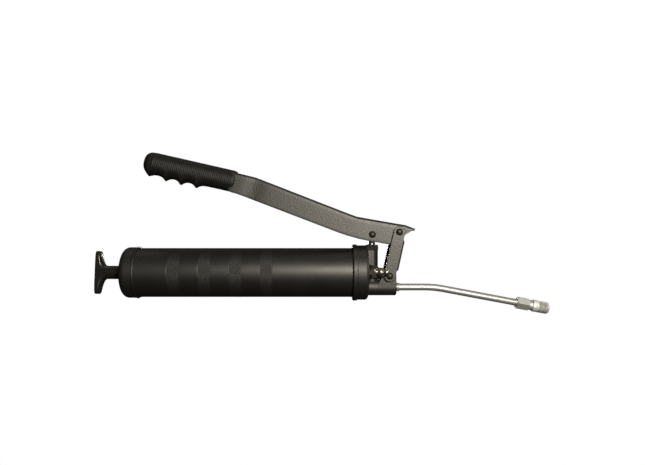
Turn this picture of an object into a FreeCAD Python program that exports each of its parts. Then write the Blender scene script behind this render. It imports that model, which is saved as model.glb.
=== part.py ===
import FreeCAD, Part
import math
import os

from FreeCAD import Vector

# Lever grease gun. The origin is on the barrel's axis at mid barrel: +X runs towards the
# coupler, +Z up to the lever and +Y to the side away from the filler nipple. Millimetres.

FIT = 0.05                 # radial clearance of a pin, rod or spigot in its hole

# barrel and rear cap
BARREL_R = 28.5
BARREL_WALL = 1.2
BARREL_REAR_X = -136.5
BARREL_FRONT_X = 135.0
BAND_WIDTH = 14.0
BAND_PITCH = 35.0
BAND_FIRST_X = -79.5
BAND_COUNT = 4
BAND_RISE = 0.15
CAP_R = 29.5
CAP_REAR_X = -142.0
CAP_LENGTH = 18.0
CAP_CORNER_R = 7.0

# head casting
RING_REAR_X = 123.7
RING_R = 31.7
RING_BEAD_R = 32.7
SOCKET_R = BARREL_R + 0.3
SOCKET_FLOOR_X = 137.0
HEAD_FACE_X = 143.4
PUMP_X = 146.5
PUMP_R = 7.2
PUMP_TOP_Z = 25.9
GLAND_FLATS = 13.6
GLAND_TURN = 10.0           # where the gland nut came to rest when it was tightened
PUMP_BORE_BOTTOM_Z = -19.0
PACKING_BORE_R = 5.2
PACKING_FLOOR_Z = 14.6
OUTLET_Z = -17.0
OUTLET_R = 9.7
OUTLET_END_X = 174.8
LUG_HALF = 10.0

# linkage
LINK_FOOT = (166.2, -3.3)
LINK_HEAD = (177.3, 47.3)
PLUNGER_EYE = (PUMP_X, 44.4)
PIN_R = 3.0
PIN_HEAD_R = 4.1
PLUNGER_R = 4.0
PLUNGER_BOTTOM_Z = -8.0
LINK_HALF = 14.0
LINK_PLATE = 3.0
LINK_EAR_R = 6.6
LINK_FOLD_R = 2.6
EDGE_R = 0.6
LEVER_HALF = 10.5
LEVER_PLATE = 2.5

# grip: it follows the lever's tail, which rises to the rear
GRIP_ORIGIN = (-12.6, 105.0)
GRIP_SLOPE = 12.8
GRIP_LENGTH = 108.7
GRIP_HALF_WIDTH = 12.6
TANG_LENGTH = 95.0
TANG_HALF_HEIGHT = 9.5
TANG_HALF_WIDTH = 8.5

# filler nipple
FILLER_BASE = (144.6, -10.2, 1.5)
FILLER_SLANT = 34.0

# extension pipe and coupler
PIPE_R = 4.0
PIPE_BORE_R = 1.8
PIPE_THREAD_R = 4.8
PIPE_BEND_R = 120.0
COUPLER_START = (315.2, -35.0)
COUPLER_SLOPE = 10.6

# follower, rod and T-handle
ROD_R = 4.0
ROD_REAR_X = -168.0
ROD_FRONT_X = 118.0
FOLLOWER_REAR_X = 106.0
FOLLOWER_R = BARREL_R - BARREL_WALL - 0.4
SPRING_R = 20.0
SPRING_WIRE_R = 1.1
SPRING_TURNS = 13
HANDLE_FACE_X = -175.0
HANDLE_HALF_HEIGHT = 25.0
HANDLE_HALF_WIDTH = 7.2
NECK_R = 7.8
NECK_FRONT_X = -142.3
HANDLE_TURN = -6.0         # the T-handle as it was left, turned a little on its rod

AXIS_X = Vector(1, 0, 0)
AXIS_Y = Vector(0, 1, 0)
AXIS_Z = Vector(0, 0, 1)
ORIGIN = Vector(0, 0, 0)


def face_of(path, place):
    """A flat face from a closed path: a pair is a corner, four numbers an arc's middle and end."""
    points = [place(*step[-2:]) for step in path]
    edges = []
    for i in range(len(path)):
        begin = points[i - 1]
        if len(path[i]) == 4:
            middle = place(*path[i][:2])
            edges.append(Part.Arc(begin, middle, points[i]).toShape())
        else:
            edges.append(Part.LineSegment(begin, points[i]).toShape())
    return Part.Face(Part.Wire(edges))


def turned(path):
    """A solid turned about X from an outline of (x, radius) steps."""
    flat = face_of(path, lambda x, r: Vector(x, 0, r))
    return flat.revolve(ORIGIN, AXIS_X, 360)


def rod_x(radius, x0, x1, z=0.0):
    return Part.makeCylinder(radius, x1 - x0, Vector(x0, 0, z), AXIS_X)


def rod_y(radius, y0, y1, spot):
    return Part.makeCylinder(radius, y1 - y0, Vector(spot[0], y0, spot[1]), AXIS_Y)


def rod_z(radius, z0, z1, x=PUMP_X):
    return Part.makeCylinder(radius, z1 - z0, Vector(x, 0, z0), AXIS_Z)


def ring_x(outer, inner, x0, x1):
    return rod_x(outer, x0, x1).cut(rod_x(inner, x0 - 1, x1 + 1))


def plate_y(path, y0, y1):
    """A plate cut to an (x, z) outline, from y0 to y1."""
    flat = face_of(path, lambda x, z: Vector(x, y0, z))
    return flat.extrude(Vector(0, y1 - y0, 0))


def hexagon_x(across_flats, x0, x1, turn=30.0):
    """A hexagonal bar along X."""
    radius = across_flats / math.sqrt(3)
    corners = [(radius * math.cos(math.radians(turn + 60 * i)),
                radius * math.sin(math.radians(turn + 60 * i))) for i in range(6)]
    flat = face_of(corners, lambda y, z: Vector(x0, y, z))
    return flat.extrude(Vector(x1 - x0, 0, 0))


def chamfered_hexagon_x(across_flats, x0, x1, turn=30.0):
    """A hexagonal bar with its corners turned off at both ends."""
    corner = across_flats / math.sqrt(3)
    flat = across_flats / 2
    drop = corner - flat
    envelope = turned([(x0, 0), (x0, flat), (x0 + drop, corner), (x1 - drop, corner), (x1, flat),
                       (x1, 0)])
    return hexagon_x(across_flats, x0, x1, turn).common(envelope)


def spring_x(radius, wire_r, x0, x1, turns):
    """A coil spring along X, from the middle of its first wire to the middle of its last."""
    helix = Part.makeHelix((x1 - x0) / turns, x1 - x0, radius)
    start = Vector(radius, 0, 0)
    circle = Part.Wire(Part.makeCircle(wire_r, start, AXIS_Y))
    coil = Part.Wire(helix).makePipeShell([circle], True, True)
    coil.rotate(ORIGIN, AXIS_Y, 90)
    coil.translate(Vector(x0, 0, 0))
    return coil


def link_point(s, t):
    """A point of the link: s along it from the foot pin, t across it towards the front."""
    dx = LINK_HEAD[0] - LINK_FOOT[0]
    dz = LINK_HEAD[1] - LINK_FOOT[1]
    length = math.hypot(dx, dz)
    return (LINK_FOOT[0] + (s * dx + t * dz) / length, LINK_FOOT[1] + (s * dz - t * dx) / length)


def grip_point(u, v):
    """A point of the grip: u along it from its front end, v across it, upwards."""
    c = math.cos(math.radians(GRIP_SLOPE))
    s = math.sin(math.radians(GRIP_SLOPE))
    return (GRIP_ORIGIN[0] - u * c + v * s, GRIP_ORIGIN[1] + u * s + v * c)


def in_grip(shape):
    """A shape made along -X from the origin, turned and moved into the grip."""
    shape.rotate(ORIGIN, AXIS_Y, GRIP_SLOPE)
    shape.translate(Vector(GRIP_ORIGIN[0], 0, GRIP_ORIGIN[1]))
    return shape


def on_filler(shape):
    """A shape made along +X from the origin, put on the filler nipple's axis."""
    shape.rotate(ORIGIN, AXIS_Z, -FILLER_SLANT)
    shape.translate(Vector(*FILLER_BASE))
    return shape


def on_coupler(shape):
    """A shape made along +X from the origin, put on the coupler's axis."""
    shape.rotate(ORIGIN, AXIS_Y, COUPLER_SLOPE)
    shape.translate(Vector(COUPLER_START[0], 0, COUPLER_START[1]))
    return shape


def head_casting():
    ring = turned([(RING_REAR_X, SOCKET_R), (RING_REAR_X, RING_BEAD_R - 1.2),
                   (RING_REAR_X + 0.35, RING_BEAD_R - 0.35, RING_REAR_X + 1.2, RING_BEAD_R),
                   (128.0, RING_BEAD_R), (128.8, RING_BEAD_R - 0.3, 129.2, RING_R),
                   (138.0, RING_R), (140.6, 30.4, 141.6, 27.5),
                   (143.0, 14.0, HEAD_FACE_X, 0.0), (SOCKET_FLOOR_X, 0.0), (SOCKET_FLOOR_X, SOCKET_R)])
    pump = rod_z(PUMP_R, OUTLET_Z, PUMP_TOP_Z)
    web = Part.makeBox(8.0, 10.0, 38.0, Vector(138.5, -5.0, OUTLET_Z))
    shoulder = Part.makeBox(8.5, 2 * PUMP_R - 0.2, 16.0, Vector(138.0, 0.1 - PUMP_R, PUMP_TOP_Z - 16.0))
    boss = rod_x(OUTLET_R, 138.5, OUTLET_END_X, OUTLET_Z)
    boss = boss.makeFillet(1.6, [e for e in boss.Edges if abs(e.BoundBox.XMin - OUTLET_END_X) < 0.01])
    x, z = LINK_FOOT
    lug = plate_y([(x - 14.0, OUTLET_Z), (x - 8.0, z), (x, z + 8.0, x + 8.0, z), (x + 8.2, OUTLET_Z)],
                  -LUG_HALF, LUG_HALF)
    filler = on_filler(rod_x(7.4, -9.0, 2.5))
    gusset = Part.makeBox(14.0, 8.0, -OUTLET_Z, Vector(PUMP_X, -4.0, OUTLET_Z))
    body = ring.fuse([pump, web, shoulder, boss, lug, gusset, filler]).removeSplitter()
    cuts = [rod_z(PLUNGER_R + FIT, PUMP_BORE_BOTTOM_Z, PUMP_TOP_Z + 1),
            rod_z(PACKING_BORE_R, PACKING_FLOOR_Z, PUMP_TOP_Z + 1),
            rod_z(0.6 * GLAND_FLATS, PUMP_TOP_Z, RING_BEAD_R + 1),
            rod_x(3.0, SOCKET_FLOOR_X - 1, PUMP_X, 6.0),
            rod_x(2.0, PUMP_X, 153.0, OUTLET_Z),
            rod_x(3.5, 152.5, 164.0, OUTLET_Z),
            rod_x(PIPE_THREAD_R + FIT, 163.5, OUTLET_END_X + 1, OUTLET_Z),
            rod_y(PIN_R + FIT, -LUG_HALF - 1, LUG_HALF + 1, LINK_FOOT),
            on_filler(rod_x(4.05, -5.0, 3.0)),
            on_filler(rod_x(1.5, -14.0, 0.0))]
    return body.cut(cuts)


def gland_nut():
    """Hexagon over the pump cylinder with a threaded spigot that presses on the packing."""
    head = chamfered_hexagon_x(GLAND_FLATS, 0.0, 6.4, 0.0)
    head.rotate(ORIGIN, AXIS_Y, -90)
    head.rotate(ORIGIN, AXIS_Z, GLAND_TURN)
    head.translate(Vector(PUMP_X, 0, PUMP_TOP_Z))
    spigot = rod_z(PACKING_BORE_R - FIT, 19.0, PUMP_TOP_Z + 0.5)
    return head.fuse(spigot).removeSplitter().cut(rod_z(PLUNGER_R + FIT, 15.0, 36.0))


def packing_washer():
    return rod_z(PACKING_BORE_R - FIT, 18.2, 18.9).cut(rod_z(PLUNGER_R + FIT, 17.0, 20.0))


def plunger_packing():
    return rod_z(PACKING_BORE_R - FIT, PACKING_FLOOR_Z, 18.1).cut(rod_z(PLUNGER_R + FIT, 14.0, 19.0))


def outlet_ball():
    return Part.makeSphere(3.175, Vector(156.1, 0, OUTLET_Z))


def outlet_spring():
    coil = spring_x(2.3, 0.3, 159.6, 163.2, 4)
    coil.translate(Vector(0, 0, OUTLET_Z))
    return coil


def filler_nipple():
    hexagon = chamfered_hexagon_x(11.5, 2.6, 9.0)
    stem = turned([(-4.5, 0), (-4.5, 4.0), (2.7, 4.0), (2.7, 3.4), (11.0, 3.4), (11.0, 4.2),
                   (11.8, 5.0), (15.7, 5.0), (16.5, 4.2), (16.5, 2.7), (18.4, 2.7), (18.4, 3.3),
                   (21.4, 3.3), (22.6, 2.9, 23.4, 1.6), (23.4, 0)])
    bore = turned([(-5.0, 0), (-5.0, 2.2), (19.6, 2.2), (21.0, 0.9), (24.0, 0.9), (24.0, 0)])
    return on_filler(hexagon.fuse(stem).removeSplitter().cut(bore))


def filler_ball():
    return on_filler(Part.makeSphere(1.5, Vector(18.85, 0, 0)))


def filler_spring():
    return on_filler(spring_x(1.5, 0.25, 5.0, 16.6, 8))


def pipe_wire(start_x, end_u):
    """The pipe's middle line: level from the head, one long bend, then down along the coupler."""
    slope = math.radians(COUPLER_SLOPE)
    corner_x = COUPLER_START[0] - (OUTLET_Z - COUPLER_START[1]) / math.tan(slope)
    reach = PIPE_BEND_R * math.tan(slope / 2)
    first = Vector(start_x, 0, OUTLET_Z)
    bend_in = Vector(corner_x - reach, 0, OUTLET_Z)
    centre = Vector(corner_x - reach, 0, OUTLET_Z - PIPE_BEND_R)
    bend_mid = centre + Vector(PIPE_BEND_R * math.sin(slope / 2), 0, PIPE_BEND_R * math.cos(slope / 2))
    bend_out = centre + Vector(PIPE_BEND_R * math.sin(slope), 0, PIPE_BEND_R * math.cos(slope))
    last = Vector(COUPLER_START[0] + end_u * math.cos(slope), 0,
                  COUPLER_START[1] - end_u * math.sin(slope))
    return Part.Wire([Part.LineSegment(first, bend_in).toShape(),
                      Part.Arc(bend_in, bend_mid, bend_out).toShape(),
                      Part.LineSegment(bend_out, last).toShape()])


def pipe_sweep(radius, start_x, end_u):
    circle = Part.Wire(Part.makeCircle(radius, Vector(start_x, 0, OUTLET_Z), AXIS_X))
    return pipe_wire(start_x, end_u).makePipeShell([circle], True, True)


def extension_pipe():
    tube = pipe_sweep(PIPE_R, 164.0, 10.0)
    root = rod_x(PIPE_THREAD_R, 164.0, 178.6, OUTLET_Z)
    tip = on_coupler(rod_x(PIPE_THREAD_R, -1.2, 10.0))
    return tube.fuse([root, tip]).removeSplitter().cut(pipe_sweep(PIPE_BORE_R, 163.0, 11.0))


def coupler_body():
    """Hexagon, waist and threaded stem, bored for the pipe, the ball check and the seal."""
    hexagon = chamfered_hexagon_x(13.5, 0.0, 14.5, 0.0)
    stem = turned([(14.0, 0), (14.0, 5.9), (18.5, 5.9), (18.5, 5.2), (24.8, 5.2), (24.8, 0)])
    bore = turned([(-1.0, 0), (-1.0, PIPE_THREAD_R + FIT), (10.2, PIPE_THREAD_R + FIT), (10.2, 1.3),
                   (12.5, 1.3), (13.5, 2.3), (21.0, 2.3), (21.0, 3.3), (28.0, 3.3), (28.0, 0)])
    return on_coupler(hexagon.fuse(stem).removeSplitter().cut(bore))


def coupler_ball():
    return on_coupler(Part.makeSphere(1.9, Vector(15.1, 0, 0)))


def coupler_ball_spring():
    return on_coupler(spring_x(1.5, 0.22, 17.4, 20.9, 4))


def coupler_seal():
    return on_coupler(turned([(21.2, 1.2), (21.2, 3.25), (26.4, 3.25), (27.6, 2.2), (27.6, 1.2)]))


def jaw_spring():
    return on_coupler(spring_x(4.4, 0.4, 25.6, 28.1, 2))


def coupler_jaws():
    """Four jaws of one turned ring, sawn apart, that grip a nipple's head."""
    ring = turned([(29.0, 3.3), (29.0, 5.6), (34.2, 5.6), (36.4, 4.5), (37.4, 4.5), (37.4, 3.3)])
    saws = [Part.makeBox(12.0, 0.5, 14.0, Vector(28.0, -0.25, -7.0)),
            Part.makeBox(12.0, 14.0, 0.5, Vector(28.0, -7.0, -0.25))]
    return on_coupler(ring.cut(saws))


def coupler_sleeve():
    return on_coupler(turned([(18.8, 5.3), (18.8, 6.6), (19.3, 7.0), (23.8, 7.0), (24.3, 6.5),
                              (24.5, 6.75), (36.4, 6.75), (37.8, 5.9), (37.8, 4.9), (36.8, 4.9),
                              (34.6, 6.0), (25.2, 6.0), (25.2, 5.3)]))


def link_channel():
    """Two side plates with an eye at each end, joined by a web along the front edge."""
    ear = LINK_EAR_R
    length = math.dist(LINK_FOOT, LINK_HEAD)
    shoulder = ear + 1.8
    outline = [link_point(length, -ear),
               link_point(length + ear, 0) + link_point(length, ear),
               link_point(43.6, ear), link_point(42.0, shoulder), link_point(9.0, shoulder),
               link_point(7.2, ear), link_point(0, ear),
               link_point(-ear, 0) + link_point(0, -ear)]
    solid = plate_y(outline, -LINK_HALF, LINK_HALF)
    folds = [edge for edge in solid.Edges if 30 < edge.Length < 40 and edge.BoundBox.YLength < 0.01]
    solid = solid.makeFillet(LINK_FOLD_R, folds)
    ears = [edge for edge in solid.Edges if edge.BoundBox.YLength < 0.01
            and abs(abs(edge.BoundBox.YMin) - LINK_HALF) < 0.01]
    solid = solid.makeFillet(EDGE_R, ears)
    web_back = shoulder - LINK_PLATE
    inside = [link_point(-20, -20), link_point(length + 20, -20), link_point(length + 20, 20),
              link_point(42.0, 20), link_point(42.0, web_back), link_point(9.0, web_back),
              link_point(9.0, 20), link_point(-20, 20)]
    half = LINK_HALF - LINK_PLATE
    holes = [rod_y(PIN_R + FIT, -LINK_HALF - 1, LINK_HALF + 1, spot)
             for spot in (LINK_FOOT, LINK_HEAD)]
    return solid.cut([plate_y(inside, -half, half)] + holes)


def domed_pin(spot, half):
    """A pin with a domed head on the near side and a groove for its clip on the far side."""
    shank = rod_y(PIN_R, -half - 0.5, half + 2.4, spot)
    groove = rod_y(PIN_R + 1, half + 0.4, half + 1.3, spot).cut(rod_y(2.2, half, half + 2, spot))
    dome = Part.makeSphere(5.2, Vector(spot[0], -half + 2.9, spot[1]))
    head = dome.common(rod_y(PIN_HEAD_R, -half - 3.0, -half - 0.1, spot))
    return shank.fuse(head).removeSplitter().cut(groove)


def pin_clip(spot, half):
    """An E-shaped clip in the pin's groove, open at its lower side."""
    ring = rod_y(4.6, half + 0.45, half + 1.25, spot).cut(rod_y(2.25, half, half + 2, spot))
    mouth = Part.makeBox(3.4, 3.0, 6.0, Vector(spot[0] - 1.7, half - 0.5, spot[1] - 6.0))
    return ring.cut(mouth)


def link_pin_clips():
    return Part.makeCompound([pin_clip(LINK_FOOT, LINK_HALF), pin_clip(LINK_HEAD, LINK_HALF)])


def lever_channel():
    """A channel open at its bottom, with its tang inside the grip."""
    top = [(195.9, 51.0), (184.9, 55.3), (128.4, 65.0), (12.1, 110.3), grip_point(-0.5, 11.2)]
    bottom = [grip_point(-0.5, -12.0), (111.9, 45.0), (139.0, 37.4), (149.7, 36.2), (165.8, 32.8)]
    blade = plate_y(top + bottom, -LEVER_HALF, LEVER_HALF)
    lowered = [(x - 0.6, z - LEVER_PLATE) for x, z in top]
    inside = lowered + [(lowered[-1][0] - 5, 20.0), (200.0, 20.0)]
    blade = blade.cut(plate_y(inside, LEVER_PLATE - LEVER_HALF, LEVER_HALF - LEVER_PLATE))
    tang = Part.makeBox(TANG_LENGTH + 1.0, 2 * TANG_HALF_WIDTH, 2 * TANG_HALF_HEIGHT,
                        Vector(-TANG_LENGTH, -TANG_HALF_WIDTH, -TANG_HALF_HEIGHT))
    gap = Part.makeBox(TANG_LENGTH + 3.0, 2 * (LEVER_HALF - LEVER_PLATE) - 4.0, 2 * TANG_HALF_HEIGHT,
                       Vector(-TANG_LENGTH - 1.0, LEVER_PLATE + 2.0 - LEVER_HALF,
                              -TANG_HALF_HEIGHT - LEVER_PLATE))
    tang = in_grip(tang.cut(gap))
    holes = [rod_y(PIN_R + FIT, -20, 20, spot) for spot in (PLUNGER_EYE, LINK_HEAD)]
    return blade.fuse(tang).removeSplitter().cut(holes)


def grip():
    """A soft grip with three finger swells, moulded over the lever's tang."""
    outline = [(0.0, -12.2), (0.0, 12.0), (1.5, 13.2), (96.0, 13.2), (107.0, 9.0, 108.7, -1.2),
               (107.0, -11.0, 99.3, -14.7), (95.0, -13.4, 92.3, -10.8), (89.5, -11.4, 86.6, -13.2),
               (80.0, -16.5, 75.6, -13.2), (72.9, -11.4, 69.6, -13.2), (61.9, -16.5, 57.6, -13.2),
               (54.6, -11.4, 51.0, -13.2), (43.6, -16.0, 36.5, -12.2)]
    outline = [(-step[0],) + step[1:] if len(step) == 2 else (-step[0], step[1], -step[2], step[3])
               for step in outline]
    side = plate_y(outline, -GRIP_HALF_WIDTH, GRIP_HALF_WIDTH)
    w = GRIP_HALF_WIDTH
    section = face_of([(-w, 3.0), (-0.72 * w, 10.6, 0.0, 13.3), (0.72 * w, 10.6, w, 3.0),
                       (w, -7.0), (0.74 * w, -14.4, 0.0, -17.0), (-0.74 * w, -14.4, -w, -7.0)],
                      lambda y, z: Vector(-GRIP_LENGTH - 1, y, z))
    body = side.common(section.extrude(Vector(GRIP_LENGTH + 2, 0, 0)))
    socket = Part.makeBox(TANG_LENGTH + 1.5, 2 * (TANG_HALF_WIDTH + FIT), 2 * (TANG_HALF_HEIGHT + FIT),
                          Vector(-TANG_LENGTH - 0.5, -TANG_HALF_WIDTH - FIT, -TANG_HALF_HEIGHT - FIT))
    return in_grip(body.cut(socket))


def plunger():
    """Ground rod with a flat eye on top. Its long hole takes the pin's swing."""
    x, z = PLUNGER_EYE
    back = x - 1.0
    front = x + 1.5
    eye = plate_y([(back, z - 7.2), (back - 7.2, z, back, z + 7.2), (front, z + 7.2),
                   (front + 7.2, z, front, z - 7.2)], -4.0, 4.0)
    slot = plate_y([(back, z - 3.7), (back - 3.7, z, back, z + 3.7), (front, z + 3.7),
                    (front + 3.7, z, front, z - 3.7)], -5.0, 5.0)
    return rod_z(PLUNGER_R, PLUNGER_BOTTOM_Z, z - 5.0).fuse(eye).removeSplitter().cut(slot)


def barrel_gasket():
    return ring_x(28.5, 24.0, BARREL_FRONT_X + 0.1, SOCKET_FLOOR_X - 0.1)


def barrel_tube():
    """Seamless tube with four knurled bands that stand a little proud."""
    tube = ring_x(BARREL_R, BARREL_R - BARREL_WALL, BARREL_REAR_X, BARREL_FRONT_X)
    bands = []
    for i in range(BAND_COUNT):
        middle = BAND_FIRST_X + i * BAND_PITCH
        bands.append(ring_x(BARREL_R + BAND_RISE, BARREL_R - 0.5, middle - BAND_WIDTH / 2,
                            middle + BAND_WIDTH / 2))
    return tube.fuse(bands).removeSplitter()


def rear_cap():
    front = CAP_REAR_X + CAP_LENGTH
    inner = BARREL_R + FIT
    round_r = CAP_CORNER_R
    cut_in = round_r * (1 - math.sqrt(0.5))
    return turned([(CAP_REAR_X, 6.05), (CAP_REAR_X, CAP_R - round_r),
                   (CAP_REAR_X + cut_in, CAP_R - cut_in, CAP_REAR_X + round_r, CAP_R),
                   (front - 2.6, CAP_R), (front - 1.3, CAP_R + 0.7, front, CAP_R), (front, inner),
                   (BARREL_REAR_X - 0.1, inner), (BARREL_REAR_X - 0.1, 24.0),
                   (CAP_REAR_X + 1.8, 22.5), (CAP_REAR_X + 1.8, 6.05)])


def rod_bush():
    x = CAP_REAR_X
    return turned([(x, ROD_R + FIT), (x, 6.0), (x + 1.85, 6.0), (x + 1.85, 9.0), (x + 3.6, 9.0),
                   (x + 3.6, ROD_R + FIT)])


def rod_seal():
    return ring_x(8.0, ROD_R + FIT, CAP_REAR_X + 3.7, CAP_REAR_X + 5.7)


def follower_spring():
    return spring_x(SPRING_R, SPRING_WIRE_R, CAP_REAR_X + 3.0, FOLLOWER_REAR_X - SPRING_WIRE_R - 0.1,
                    SPRING_TURNS)


def follower_cup():
    x = FOLLOWER_REAR_X + 2.1
    return turned([(x, ROD_R + FIT), (x, FOLLOWER_R - 1.5), (x + 1.5, FOLLOWER_R),
                   (x + 14.0, FOLLOWER_R), (x + 14.0, FOLLOWER_R - 1.4), (x + 5.0, 22.5),
                   (x + 3.0, 21.0), (x + 3.0, ROD_R + FIT)])


def follower_rear_plate():
    return ring_x(23.5, ROD_R + FIT, FOLLOWER_REAR_X, FOLLOWER_REAR_X + 2.0)


def follower_front_plate():
    return ring_x(19.5, ROD_R + FIT, FOLLOWER_REAR_X + 5.2, FOLLOWER_REAR_X + 6.8)


def follower_nut():
    x = FOLLOWER_REAR_X + 7.1
    return chamfered_hexagon_x(13.0, x, x + 4.7).cut(rod_x(ROD_R + FIT, x - 1, x + 6))


def follower_rod():
    """Rod with a collar behind the follower and a cross hole for the handle's pin."""
    collar = rod_x(6.0, FOLLOWER_REAR_X - 3.3, FOLLOWER_REAR_X - 0.3)
    rod = rod_x(ROD_R, ROD_REAR_X, ROD_FRONT_X).fuse(collar).removeSplitter()
    return rod.cut(rod_y(1.5 + FIT, -9, 9, (-149.0, 0.0)))


def t_handle():
    """Moulded bar, thick in the middle and thin at its ends, on a round neck."""
    rim = HANDLE_HALF_HEIGHT
    back = HANDLE_FACE_X
    upper = [(back, rim - 1.0), (back + 0.3, rim - 0.3, back + 1.0, rim), (back + 3.6, rim),
             (back + 4.7, rim - 0.4, back + 5.1, rim - 1.4),
             (back + 6.95, 16.0, back + 9.9, 9.2), (back + 11.2, 8.15, back + 13.5, NECK_R),
             (-148.0, NECK_R)]
    lower = [(-148.0, -NECK_R), (back + 13.5, -NECK_R), (back + 11.2, -8.15, back + 9.9, -9.2),
             (back + 6.95, -16.0, back + 5.1, 1.4 - rim), (back + 4.7, 0.4 - rim, back + 3.6, -rim),
             (back + 1.0, -rim), (back + 0.3, 0.3 - rim, back, 1.0 - rim)]
    bar = plate_y(upper + lower, -HANDLE_HALF_WIDTH, HANDLE_HALF_WIDTH)
    bar.rotate(ORIGIN, AXIS_X, HANDLE_TURN)
    neck = rod_x(NECK_R, -160.0, NECK_FRONT_X)
    cuts = [rod_x(ROD_R + FIT, ROD_REAR_X - 0.2, NECK_FRONT_X + 1),
            rod_y(1.5 + FIT, -9, 9, (-149.0, 0.0))]
    return bar.fuse(neck).removeSplitter().cut(cuts)


def handle_pin():
    return rod_y(1.5, -7.0, 7.0, (-149.0, 0.0))


NODES = {
    "head_casting": head_casting,
    "gland_nut": gland_nut,
    "packing_washer": packing_washer,
    "plunger_packing": plunger_packing,
    "outlet_ball": outlet_ball,
    "outlet_spring": outlet_spring,
    "filler_nipple": filler_nipple,
    "filler_ball": filler_ball,
    "filler_spring": filler_spring,
    "extension_pipe": extension_pipe,
    "coupler_body": coupler_body,
    "coupler_ball": coupler_ball,
    "coupler_ball_spring": coupler_ball_spring,
    "coupler_seal": coupler_seal,
    "jaw_spring": jaw_spring,
    "coupler_jaws": coupler_jaws,
    "coupler_sleeve": coupler_sleeve,
    "link_channel": link_channel,
    "link_pin_lower": lambda: domed_pin(LINK_FOOT, LINK_HALF),
    "link_pin_upper": lambda: domed_pin(LINK_HEAD, LINK_HALF),
    "link_pin_clips": link_pin_clips,
    "lever_channel": lever_channel,
    "grip": grip,
    "plunger_pin": lambda: domed_pin(PLUNGER_EYE, LEVER_HALF),
    "plunger_pin_clip": lambda: pin_clip(PLUNGER_EYE, LEVER_HALF),
    "plunger": plunger,
    "barrel_gasket": barrel_gasket,
    "barrel_tube": barrel_tube,
    "rear_cap": rear_cap,
    "rod_bush": rod_bush,
    "rod_seal": rod_seal,
    "follower_spring": follower_spring,
    "follower_cup": follower_cup,
    "follower_rear_plate": follower_rear_plate,
    "follower_front_plate": follower_front_plate,
    "follower_nut": follower_nut,
    "follower_rod": follower_rod,
    "t_handle": t_handle,
    "handle_pin": handle_pin,
}

os.makedirs("parts", exist_ok=True)
for name, make in NODES.items():
    shape = make()
    shape.exportStep("parts/" + name + ".step")
    print(name, "valid" if shape.isValid() else "NOT VALID", len(shape.Solids), "solid(s)",
          round(shape.Volume, 1), "mm3")
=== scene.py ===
import math

import bmesh
import bpy
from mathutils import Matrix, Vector


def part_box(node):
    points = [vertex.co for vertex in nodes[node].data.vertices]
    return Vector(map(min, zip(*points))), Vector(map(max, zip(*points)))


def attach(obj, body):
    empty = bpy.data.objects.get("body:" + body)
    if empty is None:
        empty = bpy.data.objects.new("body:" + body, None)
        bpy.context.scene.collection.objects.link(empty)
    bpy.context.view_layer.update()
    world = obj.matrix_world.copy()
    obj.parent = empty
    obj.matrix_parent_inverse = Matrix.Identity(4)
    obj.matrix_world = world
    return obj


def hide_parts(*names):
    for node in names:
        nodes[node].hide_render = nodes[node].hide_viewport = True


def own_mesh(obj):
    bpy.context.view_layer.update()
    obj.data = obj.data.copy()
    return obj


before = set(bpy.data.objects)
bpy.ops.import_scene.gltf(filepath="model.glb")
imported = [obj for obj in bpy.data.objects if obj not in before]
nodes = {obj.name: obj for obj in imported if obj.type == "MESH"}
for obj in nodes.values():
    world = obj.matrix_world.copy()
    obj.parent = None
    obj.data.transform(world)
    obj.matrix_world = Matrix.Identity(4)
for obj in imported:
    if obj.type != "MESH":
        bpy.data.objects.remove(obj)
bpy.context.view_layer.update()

bpy.context.scene.view_settings.view_transform = "Standard"

# ---------------------------------------------------------------------------------------------
# The studio: a camera level with the lever, and a white surround and floor that throw no light on
# the gun. One soft box to the right gives the shine on its paint, and three weaker lamps above,
# behind and beside it keep the other sides from going black.

lens_mm = 32.93
camera_place = (0.089, -0.690, 0.0467)

camera = bpy.data.objects.new("camera", bpy.data.cameras.new("camera"))
camera.data.lens = lens_mm
camera.data.sensor_width = 36
camera.data.clip_start = 0.01
camera.location = camera_place
camera.rotation_euler = (math.radians(90), 0, 0)
bpy.context.scene.collection.objects.link(camera)
bpy.context.scene.camera = camera


class Wire:
    """An output of a node, which is used in sums like a number."""

    def __init__(self, bench, socket):
        self.bench = bench
        self.socket = socket

    def sum(self, operation, first, second):
        return self.bench.node("ShaderNodeMath", {0: first, 1: second}, {"operation": operation})

    def __add__(self, other):
        return self.sum("ADD", self, other)

    __radd__ = __add__

    def __sub__(self, other):
        return self.sum("SUBTRACT", self, other)

    def __rsub__(self, other):
        return self.sum("SUBTRACT", other, self)

    def __mul__(self, other):
        return self.sum("MULTIPLY", self, other)

    __rmul__ = __mul__

    def __truediv__(self, other):
        return self.sum("DIVIDE", self, other)

    def __pow__(self, other):
        return self.sum("POWER", self, other)


class Bench:
    """A node tree being built, for a finish or for a shape that repeats."""

    def __init__(self, tree):
        self.tree = tree

    def node(self, kind, feeds=(), settings=(), give=0):
        """Adds a node: its settings first, then each socket's value or wire."""
        made = self.tree.nodes.new(kind)
        for name, value in dict(settings).items():
            if name == "stops":
                fill_ramp(made.color_ramp, value)
            else:
                setattr(made, name, value)
        for name, value in dict(feeds).items():
            if isinstance(value, Wire):
                self.tree.links.new(value.socket, made.inputs[name])
            else:
                made.inputs[name].default_value = value
        return Wire(self, made.outputs[give]) if made.outputs else made


def fill_ramp(ramp, stops):
    """Gives a ramp its stops, each a place and a grey level."""
    while len(ramp.elements) < len(stops):
        ramp.elements.new(0.5)
    for element, (place, level) in zip(ramp.elements, stops):
        element.position = place
        element.color = (level, level, level, 1)


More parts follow.
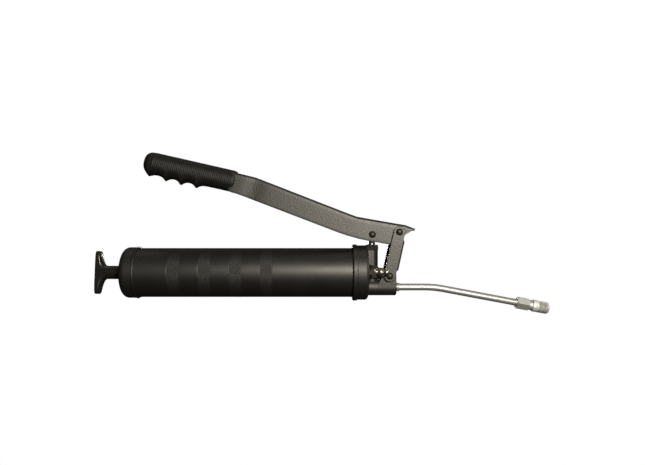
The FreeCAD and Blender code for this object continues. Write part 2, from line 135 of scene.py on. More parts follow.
surround_radius = 9.0
surround_mesh = bmesh.new()
bmesh.ops.create_uvsphere(surround_mesh, u_segments=64, v_segments=32, radius=surround_radius)
surround = bpy.data.objects.new("surround", bpy.data.meshes.new("surround"))
surround_mesh.to_mesh(surround.data)
white = bpy.data.materials.new("surround white")
white.use_nodes = True
white.node_tree.nodes.clear()
bench = Bench(white.node_tree)
shine = bench.node("ShaderNodeEmission", {"Color": (1, 1, 1, 1), "Strength": 1.0})
bench.node("ShaderNodeOutputMaterial", {"Surface": shine})
surround.data.materials.append(white)
bpy.context.scene.collection.objects.link(surround)
surround.visible_diffuse = False
surround.visible_glossy = False
surround.visible_transmission = False
surround.visible_shadow = False

# A plain pale floor under the gun, as bright as the surround, so no line shows between them.
floor_half = 6
floor_height = -0.16
floor = bpy.data.objects.new("floor", bpy.data.meshes.new("floor"))
floor_corners = [(x * floor_half, y * floor_half, floor_height)
                 for x, y in ((-1, -1), (1, -1), (1, 1), (-1, 1))]
floor.data.from_pydata(floor_corners, [], [(0, 1, 2, 3)])
floor.data.materials.append(white)
bpy.context.scene.collection.objects.link(floor)
floor.visible_diffuse = False
floor.visible_glossy = False
floor.visible_shadow = False

# The room round the gun: brighter overhead, dim below, so undersides fall dark.
room = bpy.data.worlds.new("room")
room.use_nodes = True
room.node_tree.nodes.clear()
bench = Bench(room.node_tree)
direction = bench.node("ShaderNodeTexCoord", give="Generated")
height = bench.node("ShaderNodeSeparateXYZ", {0: direction}, give="Z")
level = bench.node("ShaderNodeValToRGB", {0: height * 0.5 + 0.5},
                   {"stops": [(0.0, 0.012), (0.42, 0.020), (0.60, 0.035), (1.0, 0.11)]})
sky = bench.node("ShaderNodeBackground", {"Color": level, "Strength": 1.0})
bench.node("ShaderNodeOutputWorld", {"Surface": sky})
bpy.context.scene.world = room


def soft_box(name, place, aim, width, height, watts, colour=(1.0, 0.93, 0.80)):
    """A soft lamp, turned to face the point it is aimed at."""
    lamp = bpy.data.lights.new(name, "AREA")
    lamp.shape = "RECTANGLE"
    lamp.size = width
    lamp.size_y = height
    lamp.energy = watts
    lamp.color = colour
    box = bpy.data.objects.new(name, lamp)
    box.location = place
    box.rotation_mode = "QUATERNION"
    box.rotation_quaternion = (Vector(aim) - Vector(place)).to_track_quat("-Z", "Y")
    bpy.context.scene.collection.objects.link(box)


# Each lamp: its place, what it is aimed at, its width and height, and its watts.
soft_box("main soft box", (0.36, -1.02, 0.29), (0.12, 0, 0.0), 0.26, 0.16, 20)
soft_box("top strip", (0.05, 0.25, 1.30), (0.05, 0, 0), 1.2, 0.25, 2.0)
soft_box("rear soft box", (0.21, 1.10, 0.03), (0.12, 0, 0.03), 0.30, 0.10, 6)
soft_box("side soft box", (1.30, 0.20, 0.35), (0.20, 0, 0.0), 0.40, 0.40, 4)

# ---------------------------------------------------------------------------------------------
# The barrel: seamless steel tube in satin black enamel, with four knurled bands rolled into it
# for the hand. It screws into the head, and the rear cap is pressed over its other end.

barrel_radius = 0.0285
barrel_bore = 0.0273
barrel_ends = (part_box("barrel_tube")[0].x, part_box("barrel_tube")[1].x)
band_width = 0.014
band_pitch = 0.035
band_places = [-0.0795 + band_pitch * i for i in range(4)]
band_depth = 0.00012
band_shoulder = 0.0003


def smooth(obj, angle=35):
    """Shades a mesh smooth, with creases where faces meet at more than the angle."""
    obj.data.shade_smooth()
    mesh = bmesh.new()
    mesh.from_mesh(obj.data)
    for edge in mesh.edges:
        sharp = len(edge.link_faces) == 2 and edge.calc_face_angle(0) > math.radians(angle)
        edge.smooth = not sharp
    mesh.to_mesh(obj.data)
    mesh.free()


def finished(name, mesh, material, angle=35):
    """Makes a piece from a bmesh, with its faces turned outwards and its finish on."""
    bmesh.ops.remove_doubles(mesh, verts=mesh.verts, dist=1e-6)
    bmesh.ops.recalc_face_normals(mesh, faces=mesh.faces)
    piece = bpy.data.objects.new(name, bpy.data.meshes.new(name))
    mesh.to_mesh(piece.data)
    mesh.free()
    piece.data.materials.append(material)
    bpy.context.scene.collection.objects.link(piece)
    smooth(piece, angle)
    return piece


def loft(sections, closed_along=False):
    """Joins a row of rings with faces; open rows are capped at both ends."""
    mesh = bmesh.new()
    rows = [[mesh.verts.new(point) for point in ring] for ring in sections]
    pairs = list(zip(rows, rows[1:]))
    if closed_along:
        pairs.append((rows[-1], rows[0]))
    for near, far in pairs:
        for i in range(len(near)):
            mesh.faces.new((near[i - 1], near[i], far[i], far[i - 1]))
    if not closed_along:
        mesh.faces.new(rows[0])
        mesh.faces.new(rows[-1])
    return mesh


def turned(outline, steps=192):
    """A ring turned about the barrel's axis from a closed outline of x and radius."""
    rings = []
    for i in range(steps):
        turn = 2 * math.pi * i / steps
        rings.append([(x, r * math.sin(turn), r * math.cos(turn)) for x, r in outline])
    return loft(rings, closed_along=True)


def start_finish(name):
    """A new finish with an empty tree."""
    material = bpy.data.materials.new(name)
    material.use_nodes = True
    material.node_tree.nodes.clear()
    return material, Bench(material.node_tree)


def end_finish(bench, feeds):
    """Closes a finish with the surface shader and its output."""
    surface = bench.node("ShaderNodeBsdfPrincipled", feeds)
    bench.node("ShaderNodeOutputMaterial", {"Surface": surface})


def grain(bench, scale, detail=3.0, stretch=(1, 1, 1), roughness=0.5):
    """Cloudy grain that sits still on the piece; scale is in cells to the metre."""
    place = bench.node("ShaderNodeTexCoord", give="Object")
    place = bench.node("ShaderNodeMapping", {"Vector": place, "Scale": stretch})
    return bench.node("ShaderNodeTexNoise", {"Vector": place, "Scale": scale, "Detail": detail,
                                             "Roughness": roughness})


def between(bench, share, low, high):
    """Mixes two colours by a share."""
    return bench.node("ShaderNodeMix", {0: share, 6: low + (1,), 7: high + (1,)},
                      {"data_type": "RGBA"}, give=2)


def ramp(bench, share, stops):
    """Reshapes a share by the stops of a grey ramp."""
    return bench.node("ShaderNodeValToRGB", {0: share}, {"stops": stops})


def enamel(name, colour, shine, peel, peel_size=900, gloss=0.5):
    """Satin enamel: an orange-peel skin, faint dust and rubbed scratches over the colour."""
    material, bench = start_finish(name)
    clouds = grain(bench, 38, 4)
    peel_skin = grain(bench, peel_size, 2)
    rubs = ramp(bench, grain(bench, 160, 6, (1, 9, 9), 0.62), [(0.60, 0), (0.74, 1)])
    dust = ramp(bench, grain(bench, 1700, 2), [(0.60, 0), (0.72, 1)])
    light = tuple(c * 1.5 + 0.004 for c in colour)
    tone = between(bench, clouds * 0.55 + dust * 0.25 + rubs * 0.25, colour, light)
    rough = shine + clouds * 0.10 + dust * 0.10 - rubs * 0.06 - 0.05
    bump = bench.node("ShaderNodeBump", {"Height": peel_skin, "Strength": peel, "Distance": 0.0002})
    end_finish(bench, {"Base Color": tone, "Roughness": rough, "Specular IOR Level": gloss,
                       "Normal": bump})
    return material


black_paint = (0.0034, 0.0033, 0.0028)
barrel_enamel = enamel("barrel enamel", black_paint, 0.46, 0.12)

x0, x1 = barrel_ends
edge = 0.0004
barrel_outline = [(x0, barrel_bore + edge), (x0 + edge, barrel_bore), (x1 - edge, barrel_bore),
                  (x1, barrel_bore + edge), (x1, barrel_radius - edge), (x1 - edge, barrel_radius)]
for middle in reversed(band_places):
    barrel_outline += [(middle + band_width / 2 + band_shoulder, barrel_radius),
                       (middle + band_width / 2, barrel_radius - band_depth),
                       (middle - band_width / 2, barrel_radius - band_depth),
                       (middle - band_width / 2 - band_shoulder, barrel_radius)]
barrel_outline += [(x0 + edge, barrel_radius), (x0, barrel_radius - edge)]
barrel = finished("barrel", turned(barrel_outline), barrel_enamel, 12)
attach(barrel, "barrel")
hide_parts("barrel_tube")

# The knurl on the bands is a close field of small diamond points, rolled in before painting, so
# it is the barrel's own enamel with the shine broken up.

knurl_pitch = 0.0014
knurl_height = 0.00015
knurl_rows = 19


def start_recipe(name, sizes):
    """A geometry tree with named inputs for its sizes, and its bench."""
    tree = bpy.data.node_groups.new(name, "GeometryNodeTree")
    tree.interface.new_socket("Mesh", in_out="OUTPUT", socket_type="NodeSocketGeometry")
    for label, kind in sizes.items():
        tree.interface.new_socket(label, in_out="INPUT", socket_type="NodeSocket" + kind)
    group = tree.nodes.new("NodeGroupInput")
    bench = Bench(tree)
    return bench, {label: Wire(bench, group.outputs[label]) for label in sizes}


def end_recipe(bench, shape, finish):
    """Closes a recipe: real meshes, the finish put on, and out."""
    real = bench.node("GeometryNodeRealizeInstances", {0: shape})
    painted = bench.node("GeometryNodeSetMaterial", {"Geometry": real, "Material": finish})
    bench.node("NodeGroupOutput", {0: painted})


def run_recipe(name, bench, sizes):
    """Runs a recipe with the given sizes and returns the piece as a plain mesh."""
    carrier = bpy.data.objects.new(name + " maker", bpy.data.meshes.new(name + " maker"))
    bpy.context.scene.collection.objects.link(carrier)
    modifier = carrier.modifiers.new("recipe", "NODES")
    modifier.node_group = bench.tree
    for item in bench.tree.interface.items_tree:
        if item.in_out == "INPUT" and item.name in sizes:
            modifier[item.identifier] = sizes[item.name]
    graph = bpy.context.evaluated_depsgraph_get()
    mesh = bpy.data.meshes.new_from_object(carrier.evaluated_get(graph))
    bpy.data.objects.remove(carrier)
    mesh.name = name
    piece = bpy.data.objects.new(name, mesh)
    bpy.context.scene.collection.objects.link(piece)
    return piece


def knurl_recipe(name, finish):
    """Diamond points round a cylinder along X, every other row set over by half a pitch."""
    bench, size = start_recipe(name, {"Middle": "Float", "Radius": "Float", "Pitch": "Float",
                                      "Height": "Float", "Rows": "Int", "Columns": "Int"})
    count = size["Rows"] * size["Columns"]
    points = bench.node("GeometryNodePoints", {"Count": count})
    index = bench.node("GeometryNodeInputIndex")
    row = bench.node("ShaderNodeMath", {0: index / size["Columns"] + 0.0001},
                     {"operation": "FLOOR"})
    column = index - row * size["Columns"]
    odd = bench.node("ShaderNodeMath", {0: row, 1: 2.0}, {"operation": "MODULO"})
    turn = (column + odd * 0.5) * (2 * math.pi) / size["Columns"]
    along = size["Middle"] + (row - (size["Rows"] - 1) * 0.5) * size["Pitch"] * 0.5
    across = bench.node("ShaderNodeMath", {0: turn}, {"operation": "SINE"}) * size["Radius"] * -1
    up = bench.node("ShaderNodeMath", {0: turn}, {"operation": "COSINE"}) * size["Radius"]
    place = bench.node("ShaderNodeCombineXYZ", {0: along, 1: across, 2: up})
    points = bench.node("GeometryNodeSetPosition", {"Geometry": points, "Position": place})
    diamond = bench.node("GeometryNodeMeshCone", {"Vertices": 4, "Side Segments": 1,
                                                  "Fill Segments": 1, "Radius Top": 0.0,
                                                  "Radius Bottom": size["Pitch"] * 0.5,
                                                  "Depth": size["Height"]}, give="Mesh")
    tilt = bench.node("ShaderNodeCombineXYZ", {0: turn})
    field = bench.node("GeometryNodeInstanceOnPoints", {"Points": points, "Instance": diamond,
                                                        "Rotation": tilt})
    end_recipe(bench, field, finish)
    return bench


knurl_enamel = enamel("knurl enamel", (0.0030, 0.0029, 0.0025), 0.58, 0.20, gloss=0.40)
band_knurl = knurl_recipe("barrel knurl", knurl_enamel)
for number, middle in enumerate(band_places, 1):
    band = run_recipe("knurled_band_%d" % number, band_knurl, {
        "Middle": middle, "Radius": barrel_radius - band_depth, "Pitch": knurl_pitch,
        "Height": knurl_height, "Rows": knurl_rows,
        "Columns": round(2 * math.pi * barrel_radius / knurl_pitch)})
    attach(band, "barrel")

# ---------------------------------------------------------------------------------------------
# Head and rear cap: the head is an iron casting with the pump, the outlet and the link's lug in
# one, and the cap is drawn from sheet. Both have the barrel's enamel, thicker on the casting.


def repaint(finish, *names):
    """Gives a finish to parts that keep their own shape."""
    for name in names:
        nodes[name].data.materials.clear()
        nodes[name].data.materials.append(finish)


repaint(enamel("cast enamel", black_paint, 0.50, 0.60, 420), "head_casting")
repaint(enamel("cap enamel", black_paint, 0.48, 0.12), "rear_cap")

# ---------------------------------------------------------------------------------------------
# The lever: a channel folded from 2.5 mm sheet, open underneath, with its tail inside the grip.
# The folds are round, and its sides are pressed in a little beside the grip.

lever_half = 0.0105
lever_sheet = 0.0025
fold_radius = 0.0034
dimple_depth = 0.0008
dimple_place = 0.014
dimple_reach = 0.009
lever_stations = [((-0.0150, 0.1165), (-0.0200, 0.0945)), ((-0.0067, 0.1149), (-0.0126, 0.0925)),
                  ((0.0055, 0.1119), (-0.0040, 0.0893)), ((0.0121, 0.1103), (0.0030, 0.0866)),
                  ((0.0190, 0.1076), (0.0100, 0.0839)),
                  ((0.1180, 0.0690), (0.1085, 0.0463)), ((0.1284, 0.0652), (0.1190, 0.0428)),
                  ((0.1380, 0.0634), (0.1330, 0.0389)), ((0.1470, 0.0618), (0.1440, 0.0367)),
                  ((0.1730, 0.0573), (0.1658, 0.0328)), ((0.1849, 0.0553), (0.1800, 0.0414)),
                  ((0.1959, 0.0510), (0.1940, 0.0498))]


def stations_between(stations, step=0.004):
    """Fills a row of top and bottom places so that none are further apart than the step."""
    filled = []
    for (top, bottom), (next_top, next_bottom) in zip(stations, stations[1:]):
        count = max(1, round(math.dist(top, next_top) / step))
        for i in range(count):
            share = i / count
            filled.append(tuple(tuple(a + (b - a) * share for a, b in zip(one, two))
                                for one, two in ((top, next_top), (bottom, next_bottom))))
    return filled + [stations[-1]]


def lever_half_at(x):
    """Half the lever's width at a place along it, pressed in beside the grip."""
    return lever_half - dimple_depth * math.exp(-((x - dimple_place) / dimple_reach) ** 2)


def channel_section(top, bottom, half, fold):
    """One cut across the channel, from the near lower edge over the top to the far one."""
    depth = math.dist(top, bottom)
    fold = min(fold, depth * 0.45)
    down = ((bottom[0] - top[0]) / depth, (bottom[1] - top[1]) / depth)
    side = []
    for i in range(9):
        drop = depth + (fold - depth) * i / 8
        side.append((half, drop))
    for i in range(1, 6):
        turn = math.radians(90 * i / 6)
        side.append((half - fold + fold * math.cos(turn), fold - fold * math.sin(turn)))
    side.append((half - fold, 0.0))
    side.append((half * 0.35, 0.0))
    points = []
    for width, drop in side:
        points.append((top[0] + down[0] * drop, -width, top[1] + down[1] * drop))
    return points + [(x, -y, z) for x, y, z in reversed(points)]


def open_loft(sections):
    """Joins a row of open cuts with faces."""
    mesh = bmesh.new()
    rows = [[mesh.verts.new(point) for point in cut] for cut in sections]
    for near, far in zip(rows, rows[1:]):
        for i in range(len(near) - 1):
            mesh.faces.new((near[i], near[i + 1], far[i + 1], far[i]))
    return mesh


def folded_sheet(name, mesh, material, thickness, rounding=0.0007):
    """Thickens a bent sheet inwards and rounds its cut edges."""
    piece = bpy.data.objects.new(name, bpy.data.meshes.new(name))
    bmesh.ops.recalc_face_normals(mesh, faces=mesh.faces)
    mesh.to_mesh(piece.data)
    mesh.free()
    bpy.context.scene.collection.objects.link(piece)
    sheet = piece.modifiers.new("sheet", "SOLIDIFY")
    sheet.thickness = thickness
    sheet.offset = -1
    sheet.use_even_offset = True
    edges = piece.modifiers.new("edges", "BEVEL")
    edges.width = rounding
    edges.segments = 3
    edges.limit_method = "ANGLE"
    edges.angle_limit = math.radians(50)
    graph = bpy.context.evaluated_depsgraph_get()
    made = bpy.data.meshes.new_from_object(piece.evaluated_get(graph))
    piece.modifiers.clear()
    piece.data = made
    made.materials.clear()
    made.materials.append(material)
    smooth(piece, 40)
    return piece


lever_enamel = enamel("lever enamel", (0.0060, 0.0058, 0.0050), 0.46, 0.85, 560)
lever_cuts = [channel_section(top, bottom, lever_half_at(top[0]), fold_radius)
              for top, bottom in stations_between(lever_stations)]
lever = folded_sheet("lever", open_loft(lever_cuts), lever_enamel, lever_sheet)
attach(lever, "lever")
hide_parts("lever_channel")

# The link is folded from sheet too, and the gland nut is cut from bar; both share its paint.
repaint(lever_enamel, "link_channel", "gland_nut")

# ---------------------------------------------------------------------------------------------
# The grip: soft black rubber moulded over the lever's tail, with three finger swells below, fine
# ribs round its body and a plain collar at its front.

grip_front = (-0.0126, 0.1050)
grip_slope = math.radians(12.8)
grip_length = 0.1087
rib_pitch = 0.0021
rib_start = 0.0032
rib_height = 0.00042
finger_stops = ((0.0436, 0.0046), (0.0619, 0.0051), (0.0800, 0.0046), (0.1000, 0.0034))
grip_end_radius = 0.0090
grip_half_width = 0.0123
grip_height_above = 0.0132
grip_height_below = 0.0118
grip_roundness = 2.2
collar_round = 0.0018
collar_drop = 0.0014
finger_flank = 0.0031
finger_tip = 0.0012


def grip_drop(u):
    """How far below its middle line the grip reaches: round hollows between finger stops."""
    drop = grip_height_below
    for place, size in finger_stops:
        away = math.hypot(u - place, finger_tip) - finger_tip
        drop += size * math.exp(-away / finger_flank)
    return drop


def grip_places():
    """The places along the grip where it is cut: close at its ends, six to each rib."""
    places = [0.0, 0.0004, 0.0010, 0.0018, 0.0026]
    begin = grip_length - grip_end_radius
    ribs = int((begin - rib_start) / rib_pitch)
    places += [rib_start + rib_pitch * i / 6 for i in range(6 * ribs + 1)]
    for i in range(1, 25):
        places.append(begin + grip_end_radius * math.sin(math.radians(90 * i / 24)) * 0.9998)
    return sorted(places)


def grip_section(u, points=72):
    """One cut across the grip: flatter at the sides, with the swells only underneath."""
    begin = grip_length - grip_end_radius
    ribbed = rib_start < u < begin
    rib = rib_height * math.sin(math.pi * (u - rib_start) / rib_pitch) ** 2 if ribbed else 0.0
    past = max(0.0, (u - begin) / grip_end_radius)
    inset = grip_end_radius * (1 - math.sqrt(max(0.0, 1 - past * past)))
    front = collar_drop * (1 - min(1.0, u / collar_round)) ** 2
    cut = []
    for i in range(points):
        turn = 2 * math.pi * i / points
        c, s = math.cos(turn), math.sin(turn)
        power = 2 / grip_roundness
        out = (rib if s > -0.35 else 0.3 * rib) - inset - front
        height = grip_height_above if s > 0 else grip_drop(u)
        y = (grip_half_width + out) * math.copysign(abs(c) ** power, c)
        v = math.copysign(abs(s) ** power, s) * (height + out)
        x = grip_front[0] - u * math.cos(grip_slope) + v * math.sin(grip_slope)
        z = grip_front[1] + u * math.sin(grip_slope) + v * math.cos(grip_slope)
        cut.append((x, y, z))
    return cut


def rubber(name, colour, shine, skin=0.25, gloss=0.5):
    """Moulded rubber: a fine matt skin with worn, slightly shinier clouds."""
    material, bench = start_finish(name)
    clouds = grain(bench, 60, 4)
    fine = grain(bench, 2600, 3)
    light = tuple(c * 1.6 + 0.003 for c in colour)
    tone = between(bench, clouds * 0.6 + fine * 0.3, colour, light)
    bump = bench.node("ShaderNodeBump", {"Height": fine, "Strength": skin, "Distance": 0.0002})
    end_finish(bench, {"Base Color": tone, "Roughness": shine + clouds * 0.16, "Normal": bump,
                       "Specular IOR Level": gloss})
    return material


grip_rubber = rubber("grip rubber", (0.0026, 0.0025, 0.0022), 0.46, gloss=0.24)
grip_cuts = [grip_section(u) for u in grip_places()]
grip = finished("grip_sleeve", loft(grip_cuts), grip_rubber, 50)
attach(grip, "lever")
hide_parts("grip")

# ---------------------------------------------------------------------------------------------
# The T-handle: glossy black plastic moulded on the rod's end, a bar that is thick in the middle
# and thin at its ends on a round neck. It was left turned a few degrees round its rod.

handle_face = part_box("t_handle")[0].x
arm_half_width = 0.0072
handle_turn = math.radians(-6)
bar_squareness = 5.5
# In millimetres from here on: the neck, where the bar starts to turn into it and over how much,
# and the outline, each a distance from the flat face and the handle's reach there.
neck_radius = 7.8
neck_start = 5.0
neck_run = 8.5
handle_profile = ((0.0, 24.0), (0.12, 24.5), (0.45, 24.9), (1.0, 25.0), (3.6, 25.0), (4.2, 24.85),
                  (4.7, 24.4), (5.1, 23.6), (5.6, 21.4), (6.2, 18.9), (6.95, 16.0), (7.8, 13.3),
                  (8.8, 10.9), (9.9, 9.3), (11.2, 8.3), (12.4, 7.9), (13.5, 7.8), (20.0, 7.8),
                  (26.0, 7.8), (32.1, 7.8), (32.5, 7.65), (32.7, 7.3))


def handle_section(x, reach, half_width, squareness, points=64):
    """One cut across the handle, from a round neck to a rounded bar."""
    cut = []
    for i in range(points):
        turn = 2 * math.pi * i / points
        c, s = math.cos(turn), math.sin(turn)
        y = half_width * math.copysign(abs(c) ** (2 / squareness), c)
        z = reach * math.copysign(abs(s) ** (2 / squareness), s)
        cut.append((x, y * math.cos(handle_turn) - z * math.sin(handle_turn),
                    y * math.sin(handle_turn) + z * math.cos(handle_turn)))
    return cut


def handle_cuts():
    """The cuts of the handle from its flat face to the front of its neck."""
    cuts = []
    for offset, reach in handle_profile:
        round_share = min(1.0, max(0.0, (offset - neck_start) / neck_run))
        edge = 0.9 if offset < 0.1 else 0.35 if offset < 0.4 else 0.0
        half = arm_half_width * 1000 - edge
        half += (min(reach, neck_radius) - half) * round_share
        softening = 2.6 * min(1.0, max(0.0, (offset - 3.0) / 3.0))
        squareness = bar_squareness - softening - 0.9 * round_share
        cuts.append(handle_section(handle_face + offset / 1000, reach / 1000, half / 1000,
                                   squareness))
    return cuts


def moulded(name, colour, shine):
    """Hard moulded plastic with a glossy skin, faint flow marks and hair scratches."""
    material, bench = start_finish(name)
    flow = grain(bench, 45, 3, (1, 1, 2.5))
    hairs = ramp(bench, grain(bench, 260, 5, (1, 12, 2), 0.6), [(0.62, 0), (0.72, 1)])
    light = tuple(c * 1.5 + 0.004 for c in colour)
    tone = between(bench, flow * 0.6, colour, light)
    bump = bench.node("ShaderNodeBump", {"Height": flow, "Strength": 0.12, "Distance": 0.0006})
    end_finish(bench, {"Base Color": tone, "Roughness": shine + hairs * 0.12 + flow * 0.05,
                       "Normal": bump})
    return material


handle_plastic = moulded("handle plastic", (0.0062, 0.0060, 0.0054), 0.24)
handle = finished("t_handle_bar", loft(handle_cuts()), handle_plastic, 50)
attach(handle, "rod")
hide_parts("t_handle")

# ---------------------------------------------------------------------------------------------
# Bright metal: the pipe, the coupler, the filler nipple and the plunger are steel, drawn, turned
# or ground, and zinc plated where they show. The stampings inside are bare.


def steel(name, colour, shine, lines=(6, 500, 500), bump_strength=0.06, stain=0.25, metal=1.0):
    """Bare or plated steel with fine tool lines, dull clouds and a little staining."""
    material, bench = start_finish(name)
    clouds = grain(bench, 70, 4)
    tool_lines = grain(bench, 9, 3, lines, 0.6)
    stains = ramp(bench, grain(bench, 210, 5, roughness=0.65), [(0.55, 0), (0.75, 1)])
    dull = tuple(c * 0.72 for c in colour)
    tone = between(bench, clouds * 0.30 + stains * stain, colour, dull)
    bump = bench.node("ShaderNodeBump", {"Height": tool_lines, "Strength": bump_strength,
                                         "Distance": 0.0002})
    end_finish(bench, {"Base Color": tone, "Metallic": metal, "Normal": bump,
                       "Roughness": shine + tool_lines * 0.12 + clouds * 0.08 + stains * 0.10})
    return material


plated = steel("plated steel", (0.37, 0.385, 0.39), 0.38, metal=0.80)
repaint(plated, "extension_pipe")
repaint(steel("hexagon steel", (0.45, 0.46, 0.455), 0.40, metal=0.78), "coupler_body",
        "coupler_jaws")
repaint(steel("nipple steel", (0.50, 0.48, 0.43), 0.24), "filler_nipple")
repaint(steel("ground steel", (0.82, 0.81, 0.78), 0.10, (500, 500, 4)), "plunger", "follower_rod",
        "outlet_ball", "filler_ball", "coupler_ball")
repaint(steel("stamped steel", (0.55, 0.55, 0.53), 0.32, (60, 60, 60)), "follower_rear_plate",
        "follower_front_plate", "follower_nut", "rod_bush", "packing_washer")
repaint(steel("spring steel", (0.42, 0.42, 0.41), 0.28, (60, 60, 60)), "jaw_spring")

# ---------------------------------------------------------------------------------------------
# The pins: hardened steel blackened in oil. Three have domed heads and are held by clips in their
# grooves: the link turns on two and the plunger hangs from one. A plain one holds the T-handle.

blackened = steel("blackened steel", (0.020, 0.019, 0.017), 0.36, (60, 60, 60), 0.15, metal=0.5)
repaint(blackened, "link_pin_lower", "link_pin_upper", "plunger_pin", "link_pin_clips",
        "plunger_pin_clip", "handle_pin")

# ---------------------------------------------------------------------------------------------
# The seals: moulded nitrile rubber, pressed into the pump, the coupler, the barrel's mouth and the
# rear cap, and the cup that wipes the barrel ahead of the follower.

repaint(rubber("seal rubber", (0.010, 0.010, 0.011), 0.5), "plunger_packing", "coupler_seal",
        "barrel_gasket", "rod_seal", "follower_cup")

# ---------------------------------------------------------------------------------------------
# The follower spring: a long coil of hard wire between the rear cap and the follower, which it
# pushes forward.

coil_radius = 0.0200
wire_radius = 0.0011
spring_ends = (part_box("follower_spring")[0].x + wire_radius,
               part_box("follower_spring")[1].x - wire_radius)
spring_turns = 13.0


def coil_recipe(name, finish):
    """Round wire wound along X from one end's middle to the other's."""
    bench, size = start_recipe(name, {"Start": "Float", "Length": "Float", "Radius": "Float",
                                      "Wire": "Float", "Turns": "Float"})
    coil = bench.node("GeometryNodeCurveSpiral", {"Resolution": 48, "Rotations": size["Turns"],
                                                  "Start Radius": size["Radius"],
                                                  "End Radius": size["Radius"],
                                                  "Height": size["Length"]})
    wire = bench.node("GeometryNodeCurvePrimitiveCircle", {"Resolution": 12,
                                                           "Radius": size["Wire"]})
    tube = bench.node("GeometryNodeCurveToMesh", {"Curve": coil, "Profile Curve": wire,
                                                  "Fill Caps": True})
    here = bench.node("GeometryNodeInputPosition")
    parts = bench.node("ShaderNodeSeparateXYZ", {0: here})
    split = parts.socket.node.outputs
    turned_place = bench.node("ShaderNodeCombineXYZ", {
        0: Wire(bench, split["Z"]) + size["Start"], 1: Wire(bench, split["X"]),
        2: Wire(bench, split["Y"])})
    laid = bench.node("GeometryNodeSetPosition", {"Geometry": tube, "Position": turned_place})
    end_recipe(bench, laid, finish)
    return bench


spring_wire = steel("drawn wire", (0.42, 0.42, 0.41), 0.28, (60, 60, 60))
spring = run_recipe("follower_coil", coil_recipe("spring coil", spring_wire), {
    "Start": spring_ends[0], "Length": spring_ends[1] - spring_ends[0], "Radius": coil_radius,
    "Wire": wire_radius, "Turns": spring_turns})
spring.data.shade_smooth()
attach(spring, "barrel")
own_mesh(spring)
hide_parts("follower_spring")

# ---------------------------------------------------------------------------------------------
# The valve springs: fine coils behind the outlet, filler and coupler balls, each held at its
# far end.

outlet_base = (0, 0, -0.0170)
outlet_axis = (1, 0, 0)
filler_base = (0.1446, -0.0102, 0.0015)
filler_slant = math.radians(34.0)
coupler_start = (0.3152, -0.0350)
coupler_slope = math.radians(10.6)
filler_axis = (math.cos(filler_slant), -math.sin(filler_slant), 0.0)
coupler_axis = (math.cos(coupler_slope), 0.0, -math.sin(coupler_slope))


def laid_on(piece, base, axis):
    """Lays a piece made along X from the origin onto a sloping axis."""
    turn = Vector((1, 0, 0)).rotation_difference(Vector(axis))
    for vertex in piece.data.vertices:
        vertex.co = turn @ vertex.co + Vector(base)
    piece.data.update()
    return piece


# For each: its node, its joint, its base and axis, its ball end and held end along the axis, its
# radius, its wire's radius, its turns and the ball's lift.
valve_springs = (
    ("outlet_spring", "outlet_ball_lift", outlet_base, outlet_axis, 0.1596, 0.1632, 0.0023,
     0.0003, 4, 0.0015),
    ("filler_spring", "filler_ball_lift", filler_base, filler_axis, 0.0166, 0.0050, 0.0015,
     0.00025, 8, 0.0015),
    ("coupler_ball_spring", "coupler_ball_lift", (coupler_start[0], 0, coupler_start[1]),
     coupler_axis, 0.0174, 0.0209, 0.0015, 0.00022, 4, 0.0010))
valve_wire = coil_recipe("valve coil", spring_wire)
for name, joint, base, axis, ball_end, held_end, radius, wire, turns, lift in valve_springs:
    coil = laid_on(run_recipe(name + "_coil", valve_wire, {
        "Start": min(ball_end, held_end), "Length": abs(held_end - ball_end), "Radius": radius,
        "Wire": wire, "Turns": float(turns)}), base, axis)
    coil.data.shade_smooth()
    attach(coil, "head")
    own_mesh(coil)
    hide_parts(name)

# ---------------------------------------------------------------------------------------------
# The coupler's sleeve: turned steel that screws over the jaws, with a smooth band behind and
# fine diamond knurling in front for the fingers.


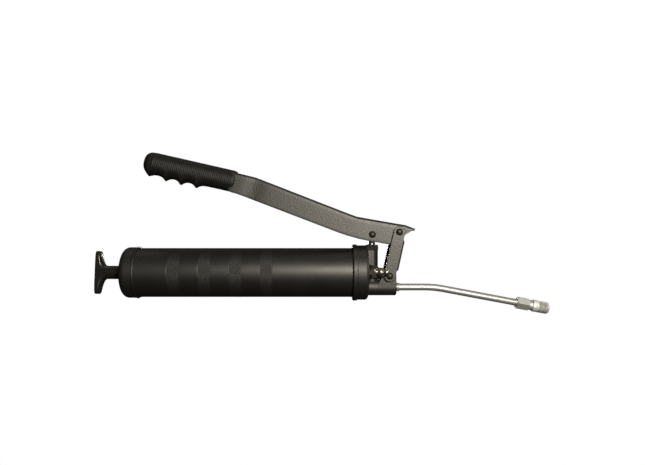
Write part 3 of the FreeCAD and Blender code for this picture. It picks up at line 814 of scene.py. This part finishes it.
def on_coupler(piece):
    """Lays a piece made along X from the origin onto the coupler's sloping axis."""
    return laid_on(piece, (coupler_start[0], 0, coupler_start[1]), coupler_axis)


sleeve_outline = [(0.0188, 0.0053), (0.0188, 0.0066), (0.0190, 0.0069), (0.0193, 0.0070),
                  (0.0236, 0.0070), (0.0240, 0.0068), (0.0242, 0.0064), (0.0246, 0.0064),
                  (0.0248, 0.0066), (0.0360, 0.0066), (0.0365, 0.0065), (0.0376, 0.0060),
                  (0.0378, 0.0058), (0.0378, 0.0050), (0.0377, 0.0049), (0.0368, 0.0049),
                  (0.0346, 0.0060), (0.0254, 0.0060), (0.0252, 0.0053)]
sleeve_steel = steel("turned steel", (0.62, 0.63, 0.61), 0.46, metal=0.6)
sleeve = on_coupler(finished("coupler_knurled_sleeve", turned(sleeve_outline, 96), sleeve_steel,
                             30))
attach(sleeve, "sleeve")
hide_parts("coupler_sleeve")

sleeve_radius = 0.0066
sleeve_knurl_middle = 0.0305
sleeve_pitch = 0.00095
sleeve_knurl_rows = 23
sleeve_knurl_height = 0.00034
knurled = steel("knurled steel", (0.42, 0.43, 0.42), 0.34, (60, 60, 60), metal=0.85)
sleeve_knurl = run_recipe("sleeve_knurl", knurl_recipe("sleeve knurl", knurled), {
    "Middle": sleeve_knurl_middle, "Radius": sleeve_radius, "Pitch": sleeve_pitch,
    "Height": sleeve_knurl_height, "Rows": sleeve_knurl_rows,
    "Columns": round(2 * math.pi * sleeve_radius / sleeve_pitch)})
on_coupler(sleeve_knurl)
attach(sleeve_knurl, "sleeve")

# ---------------------------------------------------------------------------------------------
# The pipe's screwed end: a few crests of its rolled thread show where it leaves the head. They
# are plated with the pipe.

thread_start = 0.1751
thread_length = 0.0032
thread_turns = 3.5
thread_radius = 0.0047
crest_radius = 0.00028

pipe_threads = laid_on(run_recipe("pipe_threads", coil_recipe("thread crests", plated), {
    "Start": thread_start, "Length": thread_length, "Radius": thread_radius,
    "Wire": crest_radius, "Turns": thread_turns}), outlet_base, outlet_axis)
pipe_threads.data.shade_smooth()
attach(pipe_threads, "head")
